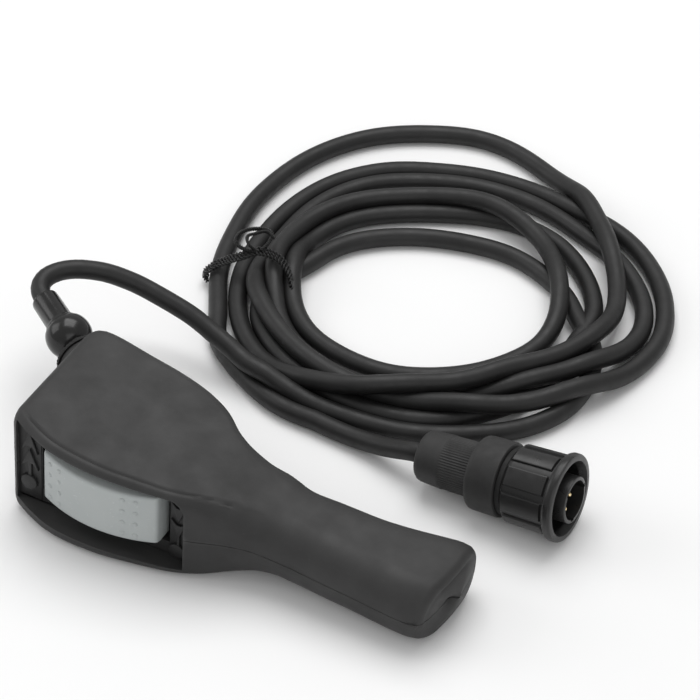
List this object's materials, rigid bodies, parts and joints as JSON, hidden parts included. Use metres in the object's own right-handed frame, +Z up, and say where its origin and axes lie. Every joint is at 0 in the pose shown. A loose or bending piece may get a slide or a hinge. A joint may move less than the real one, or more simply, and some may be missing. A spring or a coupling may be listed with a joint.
{
  "type": "pendant control station",
  "caption": "Hand-held pendant remote with a two-way rocker in a recessed window, a tied coil of cord and a round pin plug with a coupling ring.",
  "frame": {"origin": "bottom centre of the handset's box, without the cord, its gland and its plug", "axes": "+Z up, +X along the handset from its head to the end of its grip; the rocker faces -Y and the cord leaves the head's back corner"},
  "size_m": [0.2912, 0.3697, 0.0599],
  "materials": {
    "casing_rubber": "moulded, matt, slightly chalky",
    "cord_jacket": "smooth rubber jacket, satin",
    "gland_vinyl": "moulded vinyl, glossy",
    "rocker_grey": "satin moulded grey",
    "switch_black": "moulded black, satin",
    "plug_matt": "fine textured moulding",
    "plug_gloss": "glass-filled nylon, semi-gloss",
    "seal_rubber": "soft black rubber",
    "steel": "zinc plated",
    "brass": "stamped brass",
    "gold_plate": "gold plated brass",
    "crimp_vinyl": "blue vinyl insulation",
    "wire_black": "black wire insulation",
    "wire_white": "white wire insulation",
    "wire_green": "green wire insulation",
    "tie_wire": "braided black covering on a soft wire"
  },
  "bodies": {
    "handset": {"casing_screw_1": "steel", "casing_screw_2": "steel", "casing_screw_3": "steel", "casing_screw_4": "steel", "casing_screw_5": "steel", "coil_tie": "tie_wire", "conductor_common": "wire_white", "conductor_in": "wire_black", "conductor_out": "wire_green", "contact_pin_1": "gold_plate", "contact_pin_2": "gold_plate", "contact_pin_3": "gold_plate", "cord_clamp": "switch_black", "cord_coil": "cord_jacket", "cord_entry": "cord_jacket", "cord_in_plug": "cord_jacket", "cord_lead": "cord_jacket", "cord_tail": "cord_jacket", "gland_washer": "seal_rubber", "lower_casing": "casing_rubber", "pin_insert": "switch_black", "pin_shroud": "plug_gloss", "pivot_pin_1": "steel", "pivot_pin_2": "steel", "plug_boot": "plug_matt", "plug_conductor_1": "wire_black", "plug_conductor_2": "wire_white", "plug_conductor_3": "wire_green", "plug_seal": "seal_rubber", "push_connector_common": "crimp_vinyl", "push_connector_in": "crimp_vinyl", "push_connector_out": "crimp_vinyl", "strain_relief": "gland_vinyl", "switch_bezel": "switch_black", "switch_body": "switch_black", "terminal_common": "brass", "terminal_in": "brass", "terminal_out": "brass", "upper_casing": "casing_rubber"},
    "rocker": {"rocker_actuator": "rocker_grey", "plunger": "switch_black", "plunger_spring": "steel"},
    "contact": {"contact_blade": "brass"},
    "coupling": {"coupling_ring": "plug_gloss"}
  },
  "joints": [
    {"name": "rocker_tilt", "type": "hinge", "parent": "handset", "child": "rocker", "pos_m": [-0.05379, -0.0235, 0.02717], "axis": [0.0628, 0, 0.998], "range_deg": [-10, 10], "stiffness_Nm_per_rad": 1.2},
    {"name": "contact_tilt", "type": "hinge", "parent": "handset", "child": "contact", "pos_m": [-0.05379, -0.0159, 0.02717], "axis": [0.0628, 0, 0.998], "range_deg": [-4.2, 4.2]},
    {"name": "coupling_ring_turn", "type": "hinge", "parent": "handset", "child": "coupling", "pos_m": [0.12073, 0.0698, 0.02127], "axis": [0.9959, -0.0313, 0.0854], "range_deg": [0, 120]}
  ],
  "couplings": [
    {"joint": "contact_tilt", "follows": "rocker_tilt", "ratio": -0.4}
  ]
}
